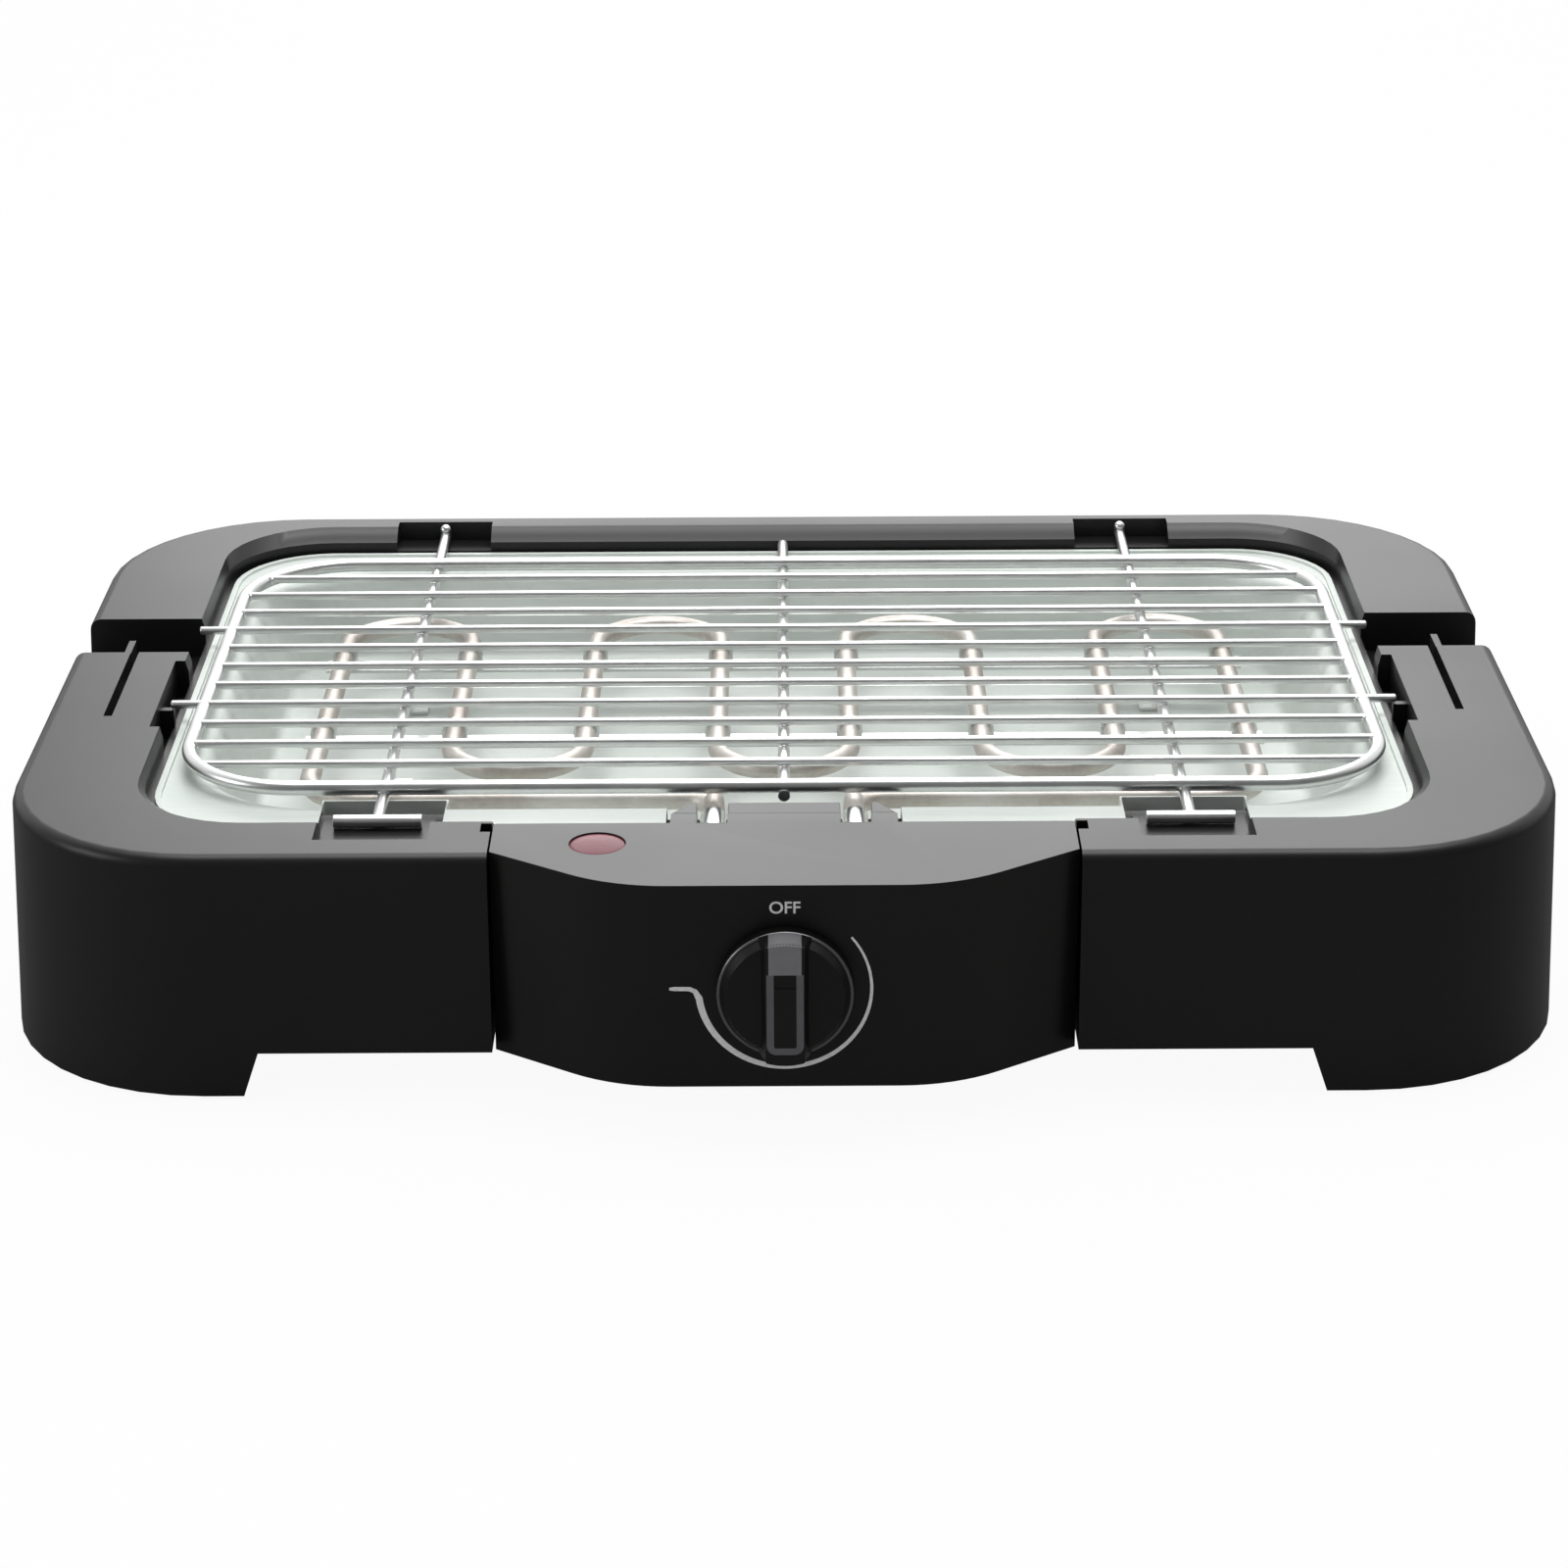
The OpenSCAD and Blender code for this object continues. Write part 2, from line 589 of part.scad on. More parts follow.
// What a slope takes off the top, between two distances from the front
module top_wedge(x0, x1, y0, y1, drop) {
    translate([x0, 0, 0]) rotate([90, 0, 90]) linear_extrude(x1 - x0)
        polygon([[y0, rim_z], [y1, rim_z - drop], [y1, rim_z + 1], [y0 - 0.1, rim_z + 1], [y0 - 0.1, rim_z]]);
}
module neck_wedge() {
    top_wedge(-neck_half - eps, neck_half + eps, slope_y, fy(neck_y) + 1, neck_drop);
}
module housing_form(inset, z0, z1) {
    translate([0, 0, z0]) linear_extrude(z1 - z0) polygon(housing_outline(inset));
}
module control_housing() {
    color("#232426") difference() {
        union() {
            difference() {
                union() {
                    housing_form(0, housing_z, rim_z);
                    block([-bay_x, back_y - 1, shelf_z + 0.6], [bay_x, lip_y, rim_z]);
                    both_sides() block([bay_x - 1, key_y - key_w / 2, housing_z + 14],
                        [bay_x + key_in, key_y + key_w / 2, rim_z - 6]);
                }
                difference() {
                    union() {
                        housing_form(housing_wall, inner_floor, inner_top);
                        block([housing_wall - bay_x, fy(end_setback) + 4, inner_floor],
                            [bay_x - housing_wall, back_y + 1, inner_top]);
                        block([housing_wall - bay_x, back_y - 2, shelf_z],
                            [bay_x - housing_wall, lip_y + 1, rear_top]);
                    }
                    for (p = post_spots)
                        rod_y(p[0], front_y, back_y - back_t - 0.1, p[1], 8);
                }
            }
            translate([lens_at[0], lens_at[1], inner_top - 5])
                cylinder(d = lens_d + 3, h = 6, $fn = 48);
        }
        neck_wedge();
        both_sides() {
            top_wedge(neck_half, bay_x + 1, slope_y, lip_y + eps, slope_h);
            top_wedge(end_x - slot_half, end_x + slot_half, slope_y, lip_y + eps, slope_h);
        }
        for (p = post_spots)
            rod_y(p[0], back_y - back_t - screw_l - 4, back_y, p[1], screw_d + 2 * run_gap, 24);
        rod_y(0, front_y - 1, front_y + housing_wall + 1, knob_z, bush_d + 2 * hole_gap);
        both_sides() rod_y(13, front_y - 1, front_y + housing_wall + 1, knob_z, 3.4, 24);
        translate([lens_at[0], lens_at[1], rim_z - 1.4])
            cylinder(d = lens_d + hole_gap, h = 3, $fn = 48);
        translate([lens_at[0], lens_at[1], inner_top - 8])
            cylinder(d = lens_d - 2 + hole_gap, h = 12, $fn = 48);
    }
}
module back_cover() {
    xh = bay_x - housing_wall - 0.2;
    color("#1f2022") difference() {
        union() {
            block([-xh, back_y - back_t, inner_floor + 0.2], [xh, back_y, shelf_z + 0.6 + back_t]);
            block([-xh, back_y - back_t, shelf_z + 0.6], [xh, lip_y, shelf_z + 0.6 + back_t]);
            block([-xh, lip_y - back_t, shelf_z + 0.6], [xh, lip_y, rear_top - 0.2]);
        }
        for (p = post_spots) rod_y(p[0], back_y - 5, back_y + 1, p[1], 3.5, 24);
        both_sides() rod_y(end_x, lip_y - 5, lip_y + 1, tube_end_z, tube_d + 0.8);
        inlet_tube(inlet_d + 4 + 2 * run_gap, back_t + 5, 5);
        both_sides() rod_y(end_x + 9, lip_y - 5, lip_y + 1, tube_end_z, 3.2, 24);
    }
}
module cover_screws() {
    color("#b8bcc0") for (p = post_spots) {
        rod_y(p[0], back_y - back_t - screw_l, back_y, p[1], screw_d, 24);
        rod_y(p[0], back_y, back_y + 0.6, p[1], screw_head_d, 24);
    }
}
module neck_hood() {
    tip_half = neck_half - 6;
    outline = [[-neck_half, lip_y + 0.05], [neck_half, lip_y + 0.05], [tip_half, fy(neck_y)],
        [-tip_half, fy(neck_y)]];
    color("#3a3c3f") difference() {
        translate([0, 0, shelf_z + seat_gap]) linear_extrude(rim_z - shelf_z - seat_gap) polygon(outline);
        neck_wedge();
        block([-13, lip_y - 1, hood_floor_z], [13, fy(neck_y) - 1.8, rim_z - 2 - neck_drop]);
        both_sides() {
            block([end_x - slot_half, lip_y - 1, tube_end_z], [end_x + slot_half, fy(neck_y) + 1, rim_z + 1]);
            rod_y(end_x, lip_y - 1, fy(neck_y) + 1, tube_end_z, 2 * slot_half);
        }
        translate([0, switch_y, 0]) cylinder(d = pin_d + 2 * hole_gap, h = rim_z - 5, $fn = 32);
    }
}
// A cylinder on the inlet's axis, before and behind the middle of its outer flange
module inlet_tube(d, l0, l1) {
    translate([inlet_x, back_y, inlet_z]) rotate([-90 - inlet_tilt, 0, 0]) translate([0, 0, -l0])
        cylinder(d = d, h = l0 + l1, $fn = 32);
}
module cord_inlet() {
    color("#151515") difference() {
        union() {
            inlet_tube(inlet_d + 4, back_t + 4, inlet_reach);
            rod_y(inlet_x, back_y, back_y + 1.2, inlet_z, inlet_d + 8);
            rod_y(inlet_x, back_y - back_t - 3, back_y - back_t - 0.1, inlet_z, inlet_d + 8);
        }
        inlet_tube(inlet_d, back_t + 9, inlet_reach + 5);
    }
}

// Heating element
module tube_arc(c, r, a0, a1, z = element_z) {
    translate([c[0], c[1], z]) rotate([0, 0, a0]) rotate_extrude(angle = a1 - a0, $fn = 64)
        translate([r, 0]) circle(d = tube_d, $fn = 24);
}
// An arc in an upright plane along Y, about a centre at height z
module tube_lift(x, y, z, a0, a1) {
    translate([x, y, z]) rotate([0, -90, 0]) rotate([0, 0, a0]) rotate_extrude(angle = a1 - a0, $fn = 64)
        translate([tube_lift_r, 0]) circle(d = tube_d, $fn = 24);
}
module heating_tube() {
    leg_y1 = run_y + tube_corner_r;
    color("#6e5c48") union() {
        for (i = [0:leg_count - 1])
            rod_y(leg_x0 + i * leg_pitch, (i == 0 || i == leg_count - 1) ? leg_y1 : front_arc_y,
                rear_arc_y, element_z, tube_d, 24);
        for (i = [0:2:leg_count - 2])
            tube_arc([leg_x0 + (i + 0.5) * leg_pitch, rear_arc_y], bend_r, 0, 180);
        for (i = [1:2:leg_count - 3])
            tube_arc([leg_x0 + (i + 0.5) * leg_pitch, front_arc_y], bend_r, 180, 360);
        both_sides() {
            tube_arc([leg_x0 + tube_corner_r, leg_y1], tube_corner_r, 180, 270);
            rod_x(leg_x0 + tube_corner_r, -end_x - tube_turn_r, run_y, element_z, tube_d, 24);
            tube_arc([-end_x - tube_turn_r, run_y - tube_turn_r], tube_turn_r, 0, 90);
            tube_lift(-end_x, lift_y1, element_z + tube_lift_r, 180, 180 + lift_a);
            tube_lift(-end_x, lift_y0, tube_end_z - tube_lift_r, 0, lift_a);
            rod_y(-end_x, tube_start_y, lift_y0, tube_end_z, tube_d, 24);
            translate([-end_x, (lift_y0 + lift_y1) / 2, (element_z + tube_end_z) / 2])
                sphere(d = tube_d + 0.2, $fn = 32);
        }
    }
}
module tube_sleeves() {
    color("#e6e8e8") both_sides() difference() {
        rod_y(end_x, lip_y + 0.6, lip_y + 0.6 + sleeve_l, tube_end_z, tube_d + 1.8);
        rod_y(end_x, lip_y, lip_y + sleeve_l + 2, tube_end_z, tube_d + 2 * run_gap);
    }
}
module tube_plate() {
    xh = end_x + 14;
    color("#b9bdc0") difference() {
        block([-xh, tube_plate_y, tube_end_z - 5.2], [xh, tube_plate_y + 1.5, rear_top - 0.2]);
        both_sides() rod_y(end_x, tube_plate_y - 1, tube_plate_y + 3, tube_end_z, tube_d + 2 * run_gap);
        both_sides() rod_y(end_x + 9, tube_plate_y - 1, tube_plate_y + 3, tube_end_z, 3.2, 24);
    }
}
module plate_rivets() {
    color("#c4c7c9") both_sides() {
        rod_y(end_x + 9, tube_plate_y, lip_y, tube_end_z, 3, 24);
        rod_y(end_x + 9, tube_plate_y - 1, tube_plate_y, tube_end_z, 4.6, 24);
    }
}
module terminal_pins() {
    color("#d9dadb") both_sides() rod_y(end_x, tube_start_y - tab_l, tube_start_y, tube_end_z, 2.4, 24);
}
module spade_tabs() {
    color("#c9a45a") both_sides() difference() {
        block([end_x - tab_w / 2, tube_start_y - 2 * tab_l, tube_end_z - tab_t / 2],
            [end_x + tab_w / 2, tube_start_y - tab_l, tube_end_z + tab_t / 2]);
        translate([end_x, tube_start_y - 11, tube_end_z - 2]) cylinder(d = 1.6, h = 4, $fn = 16);
    }
}
module support_straps() {
    leg_h = strap_z - bowl_floor_z - tray_sheet - seat_gap;
    stand_x = -leg_x0 - bend_r;
    color("#c8cbcc") {
        for (y = straps_y) {
            block([leg_x0 - 7, y - strap_w / 2, strap_z], [7 - leg_x0, y + strap_w / 2, strap_z + strap_t]);
            both_sides() {
                block([stand_x - strap_t, y - strap_w / 2, strap_z - leg_h],
                    [stand_x, y + strap_w / 2, strap_z + eps]);
                block([stand_x - 7, y - strap_w / 2, strap_z - leg_h],
                    [stand_x - strap_t + eps, y + strap_w / 2, strap_z - leg_h + strap_t]);
            }
        }
    }
}
module tube_clips() {
    clip_w = 5;
    color("#cfd2d3") for (i = [0:leg_count - 1], y = straps_y) translate([leg_x0 + i * leg_pitch, y, 0])
        difference() {
            union() {
                rod_y(0, -clip_w / 2, clip_w / 2, element_z, tube_d + 2 * clip_t);
                block([-tube_d / 2 - clip_t, -clip_w / 2, strap_z + strap_t],
                    [tube_d / 2 + clip_t, clip_w / 2, element_z]);
            }
            rod_y(0, -clip_w, clip_w, element_z, tube_d + 2 * run_gap, 24);
            block([-tube_d / 2 - run_gap, -clip_w, strap_z + strap_t - 2],
                [tube_d / 2 + run_gap, clip_w, element_z]);
            block([-10, -clip_w, strap_z - 4], [10, clip_w, strap_z + strap_t]);
        }
}

// Thermostat and inner parts of the housing
module thermostat_body() {
    color("#e8e2d0") difference() {
        union() {
            block([-stat_w / 2, stat_y, knob_z - stat_h / 2],
                [stat_w / 2, stat_y + stat_d, knob_z + stat_h / 2]);
            rod_y(0, stat_y + stat_d - 1, stat_y + stat_d + 3, knob_z, 18);
        }
        rod_y(0, stat_y - 1, stat_y + 13, knob_z, shaft_d + 2 * hole_gap);
    }
}
module thermostat_bush() {
    color("#c2a24e") difference() {
        rod_y(0, front_y - 0.2, stat_y, knob_z, bush_d);
        rod_y(0, front_y - 1, stat_y + 1, knob_z, shaft_d + 2 * run_gap);
    }
}
module thermostat_bracket() {
    color("#b9bdc0") difference() {
        union() {
            block([-19, front_y + housing_wall, knob_z - 11], [19, stat_y, knob_z + 11]);
            both_sides() block([stat_w / 2, front_y + housing_wall, knob_z - 8],
                [stat_w / 2 + 1.2, stat_y + 12, knob_z + 8]);
        }
        rod_y(0, front_y, stat_y + 1, knob_z, bush_d + 2 * run_gap);
        both_sides() rod_y(13, front_y, stat_y + 1, knob_z, 3.1, 24);
    }
}
module bracket_screws() {
    color("#b8bcc0") both_sides() {
        rod_y(13, front_y, stat_y, knob_z, 3, 24);
        rod_y(13, front_y - 0.4, front_y, knob_z, 5.2, 24);
    }
}
module thermostat_tabs() {
    color("#c9a45a") for (x = [-8, 8])
        block([x - tab_w / 2, stat_y + stat_d, knob_z + 9],
            [x + tab_w / 2, stat_y + stat_d + tab_l + 1, knob_z + 9 + tab_t]);
}
module lamp_lens() {
    color("#d8808c") translate([lens_at[0], lens_at[1], 0]) difference() {
        union() {
            translate([0, 0, rim_z - 1.4]) cylinder(d = lens_d, h = 1, $fn = 48);
            translate([0, 0, rim_z - 0.4]) cylinder(d1 = lens_d, d2 = lens_d - 3, h = 0.4, $fn = 48);
            translate([0, 0, rim_z - 7]) cylinder(d = lens_d - 2, h = 6, $fn = 48);
        }
        translate([0, 0, rim_z - 8]) cylinder(d = lens_d - 5, h = 6.4, $fn = 48);
    }
}
module lamp_holder() {
    color("#d8d2c4") translate([lens_at[0], lens_at[1], 0]) difference() {
        translate([0, 0, inner_top - 19]) cylinder(d = lens_d + 1.6, h = 14, $fn = 48);
        translate([0, 0, inner_top - 17]) cylinder(d = lens_d - 2, h = 20, $fn = 48);
    }
}
module neon_lamp() {
    color("#f2b48c") translate([lens_at[0], lens_at[1], inner_top - 17]) {
        cylinder(d = 5.6, h = 9, $fn = 32);
        translate([0, 0, 9]) sphere(d = 5.6, $fn = 32);
    }
}
module terminal_block() {
    color("#ece8dc") difference() {
        block([block_x - 15, fy(0), inner_floor + 0.1], [block_x + 15, fy(16), inner_floor + 12]);
        for (i = [-1:1]) {
            rod_y(block_x + i * 9, fy(-1), fy(17), inner_floor + 5, 4, 24);
            translate([block_x + i * 9, fy(8), inner_floor + 6]) cylinder(d = 3.2, h = 8, $fn = 24);
        }
    }
}
module block_screws() {
    color("#c9a45a") for (i = [-1:1])
        translate([block_x + i * 9, fy(8), inner_floor + 7.4]) cylinder(d = 3, h = 4, $fn = 24);
}
module safety_switch() {
    color("#2f3a48") difference() {
        block([-10, switch_y - 3.2, collar_z + 1.1], [10, switch_y + 3.2, rim_z - 2.2 - neck_drop]);
        translate([0, switch_y, 0]) cylinder(d = 2.4 + 2 * hole_gap, h = collar_z + 4.8, $fn = 24);
    }
}
module switch_tabs() {
    color("#c9a45a") for (x = [-6, 6])
        block([x - 1.4, lip_y + 0.2, rim_z - 6.4], [x + 1.4, switch_y - 3.2, rim_z - 5.8]);
}
// A round lead made of straight runs with ball corners
module lead(points, d) {
    for (i = [0:len(points) - 2]) {
        a = points[i];
        v = points[i + 1] - a;
        l = norm(v);
        translate(a) rotate([0, acos(v[2] / l), atan2(v[1], v[0])]) cylinder(d = d, h = l, $fn = 16);
        if (i > 0) translate(a) sphere(d = d + 0.1, $fn = 16);
    }
}
module lead_wires() {
    wire_y = stat_y + stat_d + 8.1;
    tab_y = tube_start_y - 11;
    stat_z = knob_z + 12;
    high_z = rim_z - 16;
    low_z = inner_floor + 5;
    color("#b04030") {
        lead([[-8, wire_y, stat_z], [-8, wire_y, high_z], [-end_x, wire_y, high_z],
            [-end_x, tab_y, high_z + 4], [-end_x, tab_y, tube_end_z - 1.6]], lead_d);
        lead([[end_x, tab_y, tube_end_z - 1.6], [end_x, tab_y, tube_end_z - 16],
            [block_x - 9, fy(-5), tube_end_z - 30], [block_x - 9, fy(-5), low_z],
            [block_x - 9, fy(2), low_z]], lead_d);
        lead([[8, wire_y, stat_z], [8, wire_y, high_z - 5], [40, wire_y, high_z - 28],
            [block_x, fy(-5), high_z - 38], [block_x, fy(-5), low_z], [block_x, fy(2), low_z]], lead_d);
    }
}

// Knob and safety pin
module control_knob() {
    skirt_h = 4;
    color("#202123") difference() {
        union() {
            rod_y(0, knob_y - skirt_h, knob_y, knob_z, knob_d, 64);
            translate([0, knob_y - skirt_h, knob_z]) rotate([90, 0, 0])
                cylinder(d1 = knob_d - 1.6, d2 = knob_d - 6, h = 3.4, $fn = 64);
            intersection() {
                translate([0, knob_y - skirt_h, knob_z]) rotate([90, 0, 0])
                    cylinder(d1 = knob_d - 0.4, d2 = knob_d - 2, h = knob_reach - skirt_h, $fn = 64);
                translate([0, 0, knob_z - knob_d / 2]) linear_extrude(knob_d)
                    polygon([[-grip_w / 2 - 2.5, knob_y - 1], [grip_w / 2 + 2.5, knob_y - 1],
                        [grip_w / 2, grip_y + 4], [grip_w / 2 - 1, grip_y], [1 - grip_w / 2, grip_y],
                        [-grip_w / 2, grip_y + 4]]);
            }
        }
        difference() {
            rod_y(0, knob_y - skirt_h - 1.4, knob_y + 1, knob_z, knob_d - 5, 48);
            rod_y(0, knob_y - skirt_h - 2, knob_y + 2, knob_z, shaft_d + 5);
        }
        rod_y(0, knob_y - 11, knob_y + 1, knob_z, shaft_d + 2 * run_gap);
        block([-pointer_w / 2 - 0.1, grip_y - 1, knob_z + pointer_z0],
            [pointer_w / 2 + 0.1, grip_y + 0.8, knob_z + pointer_z1 + 5]);
    }
}
module knob_pointer() {
    color("#9a9c9f") block([-pointer_w / 2, grip_y + 0.1, knob_z + pointer_z0 + 0.1],
        [pointer_w / 2, grip_y + 0.8, knob_z + pointer_z1]);
}
module thermostat_shaft() {
    color("#b9bdc0") rod_y(0, knob_y - 10.5, stat_y + 12, knob_z, shaft_d);
}
module knob_clip() {
    color("#d0d2d4") difference() {
        rod_y(0, knob_y - 3.6, knob_y - 1.2, knob_z, shaft_d + 6.6);
        rod_y(0, knob_y - 5, knob_y, knob_z, shaft_d + 5 + 2 * run_gap);
        block([-1.5, knob_y - 5, knob_z], [1.5, knob_y, knob_z + 12]);
    }
}
module safety_pin() {
    low = shelf_z + 0.15;
    color("#e04a2a") translate([0, switch_y, 0]) {
        translate([0, 0, low]) cylinder(d = pin_d, h = collar_z - low, $fn = 32);
        translate([0, 0, collar_z]) cylinder(d = pin_d + 2.4, h = 0.9, $fn = 32);
        translate([0, 0, collar_z + 0.9]) cylinder(d = 2.4, h = 3, $fn = 24);
    }
}

// Grid
module grid_loop() {
    color("#d9dbdb") union() {
        xs = loop_half - loop_r;
        y0 = loop_y0 + loop_r;
        y1 = loop_y1 - loop_r;
        for (y = [loop_y0, loop_y1]) rod_x(-xs, xs, y, loop_z, loop_d, 24);
        for (x = [-loop_half, loop_half]) rod_y(x, y0, y1, loop_z, loop_d, 24);
        for (c = [[xs, y1, 0], [-xs, y1, 90], [-xs, y0, 180], [xs, y0, 270]])
            translate([c[0], c[1], loop_z]) rotate([0, 0, c[2]]) rotate_extrude(angle = 90, $fn = 64)
                translate([loop_r, 0]) circle(d = loop_d, $fn = 24);
    }
}
// Half length of a bar at distance y, up to the middle of the loop wire
function bar_half(y) = let (e = max(0, loop_y0 + loop_r - y, y - loop_y1 + loop_r))
    loop_half - loop_r + sqrt(loop_r * loop_r - e * e);
module grid_bars() {
    color("#e2e4e4") for (i = [1:bar_count]) {
        y = loop_y0 + i * bar_pitch;
        l = bar_half(y) + ((i == long_bars[0] || i == long_bars[1]) ? bar_reach : 0);
        rod_x(-l, l, y, bar_z, bar_d, 20);
    }
}
module grid_rods() {
    color("#d9dbdb") {
        for (x = [-rod_x, rod_x]) union() {
            rod_y(x, front_foot_y, rear_foot_y, rod_z, rod_d, 24);
            rod_x(x - foot_wire_l / 2, x + foot_wire_l / 2, front_foot_y, rod_z, foot_wire_d, 24);
            for (z = [rod_z, rod_z + rear_rise])
                translate([x, rear_foot_y, z]) sphere(d = foot_wire_d, $fn = 24);
            translate([x, rear_foot_y, rod_z]) cylinder(d = foot_wire_d - 0.2, h = rear_rise, $fn = 24);
        }
        rod_y(0, loop_y0 - 3, open_y1 - 2, rod_z, rod_d, 24);
    }
}

base_frame();
rubber_feet();
heat_shield();
shield_screws();
drip_tray();
control_housing();
back_cover();
cover_screws();
neck_hood();
cord_inlet();
heating_tube();
tube_sleeves();
tube_plate();
plate_rivets();
terminal_pins();
spade_tabs();
support_straps();
tube_clips();
thermostat_body();
thermostat_bush();
thermostat_bracket();
bracket_screws();
thermostat_tabs();
lamp_lens();
lamp_holder();
neon_lamp();
terminal_block();
block_screws();
safety_switch();
switch_tabs();
lead_wires();
control_knob();
knob_pointer();
thermostat_shaft();
knob_clip();
safety_pin();
grid_loop();
grid_bars();
grid_rods();
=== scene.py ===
import json
import math

import bpy
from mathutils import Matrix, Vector


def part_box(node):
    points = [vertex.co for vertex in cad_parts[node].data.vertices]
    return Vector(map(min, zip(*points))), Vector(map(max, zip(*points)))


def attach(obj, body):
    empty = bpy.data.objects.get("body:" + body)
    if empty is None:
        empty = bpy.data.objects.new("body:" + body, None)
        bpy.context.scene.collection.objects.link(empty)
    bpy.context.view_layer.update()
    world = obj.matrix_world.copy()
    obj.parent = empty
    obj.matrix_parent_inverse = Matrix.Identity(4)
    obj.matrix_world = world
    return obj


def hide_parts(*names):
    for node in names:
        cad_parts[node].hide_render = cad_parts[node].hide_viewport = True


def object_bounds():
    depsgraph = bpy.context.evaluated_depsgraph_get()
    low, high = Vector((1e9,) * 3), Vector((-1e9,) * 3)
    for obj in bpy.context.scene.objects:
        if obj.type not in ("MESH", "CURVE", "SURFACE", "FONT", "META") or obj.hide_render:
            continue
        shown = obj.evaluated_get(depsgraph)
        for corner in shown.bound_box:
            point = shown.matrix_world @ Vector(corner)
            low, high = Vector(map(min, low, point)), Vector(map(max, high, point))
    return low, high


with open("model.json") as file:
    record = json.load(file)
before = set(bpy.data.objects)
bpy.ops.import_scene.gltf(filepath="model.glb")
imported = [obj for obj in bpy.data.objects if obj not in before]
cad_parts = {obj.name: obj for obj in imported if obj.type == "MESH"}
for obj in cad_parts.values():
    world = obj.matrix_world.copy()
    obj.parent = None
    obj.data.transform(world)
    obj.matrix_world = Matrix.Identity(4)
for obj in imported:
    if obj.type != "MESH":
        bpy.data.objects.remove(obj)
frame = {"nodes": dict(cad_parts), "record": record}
cad_low, cad_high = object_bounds()

# Camera: the photograph looks down at the front of the grill from straight ahead,
# through a long lens, and leans by a third of a degree.
camera_pitch = math.radians(22.16)
camera_lean = math.radians(-0.3)
camera_data = bpy.data.cameras.new("camera")
camera_data.sensor_width = 36.0
camera_data.lens = 91.3
camera = bpy.data.objects.new("camera", camera_data)
bpy.context.scene.collection.objects.link(camera)
camera.location = (0.0, -1.31865, 0.5828)
camera.rotation_euler = (math.pi / 2 - camera_pitch, 0.0, 0.0)
camera.rotation_euler.rotate_axis("Z", camera_lean)
bpy.context.scene.camera = camera
bpy.context.scene.view_settings.view_transform = "Standard"


# Floor and backdrop: white sheet, so the grill stands on the photograph's white, with a
# soft shadow under it. The room is bright behind the grill and dim in front of it.
class Shade:
    """An output of a material node, on which Python's operators add Math nodes."""

    def __init__(self, tree, out):
        self.tree = tree
        self.out = out

    def node(self, kind, settings, values, output=0):
        made = self.tree.nodes.new("ShaderNode" + kind)
        for name, value in settings.items():
            if name == "stops":
                ramp = made.color_ramp.elements
                for place, (at, colour) in enumerate(value):
                    stop = ramp[place] if place < 2 else ramp.new(at)
                    stop.position = at
                    stop.color = (*colour, 1.0)
            else:
                setattr(made, name, value)
        for name, value in values.items():
            if isinstance(value, Shade):
                self.tree.links.new(value.out, made.inputs[name])
            else:
                made.inputs[name].default_value = value
        return Shade(self.tree, made.outputs[output])

    def maths(self, operation, first, second):
        return self.node("Math", {"operation": operation}, {0: first, 1: second})

    def __add__(self, other):
        return self.maths("ADD", self, other)

    def __mul__(self, other):
        return self.maths("MULTIPLY", self, other)

    def __rsub__(self, other):
        return self.maths("SUBTRACT", other, self)

    __radd__ = __add__
    __rmul__ = __mul__

    def noise(self, scale, detail):
        return self.node("TexNoise", {}, {"Vector": self, "Scale": scale, "Detail": detail,
                                          "Roughness": 0.5})

    def stretched(self, scale):
        return self.node("Mapping", {}, {"Vector": self, "Scale": scale})

    def ramp(self, *stops):
        return self.node("ValToRGB", {"stops": stops}, {"Fac": self})

    def bump(self, strength, distance):
        return self.node("Bump", {}, {"Height": self, "Strength": strength, "Distance": distance})


def new_finish(name, **plain):
    """A material, its surface shader and its Object coordinates. plain sets the sockets
    that don't vary."""
    material = bpy.data.materials.new(name)
    material.use_nodes = True
    tree = material.node_tree
    surface = tree.nodes["Principled BSDF"]
    for socket, value in plain.items():
        surface.inputs[socket.replace("_", " ")].default_value = value
    place = tree.nodes.new("ShaderNodeTexCoord")
    return material, surface, Shade(tree, place.outputs["Object"])


def feed(surface, socket, shade):
    shade.tree.links.new(shade.out, surface.inputs[socket])


bpy.ops.object.select_all(action="DESELECT")
bpy.ops.mesh.primitive_plane_add(size=12.0, location=(0.0, 0.0, 0.0))
floor = bpy.context.object
floor.name = "floor"
floor_paper, floor_surface, _ = new_finish(
    "floor_paper", Roughness=0.9, Specular_IOR_Level=0.0, Base_Color=(0.8, 0.8, 0.8, 1.0))


def seen_by(tree):
    """What looks at a background: one for the camera, and one for gloss and glass."""
    rays = tree.nodes.new("ShaderNodeLightPath")
    by_camera = Shade(tree, rays.outputs["Is Camera Ray"])
    by_mirror = Shade(tree, rays.outputs["Is Glossy Ray"])
    return by_camera, by_mirror + Shade(tree, rays.outputs["Is Transmission Ray"])


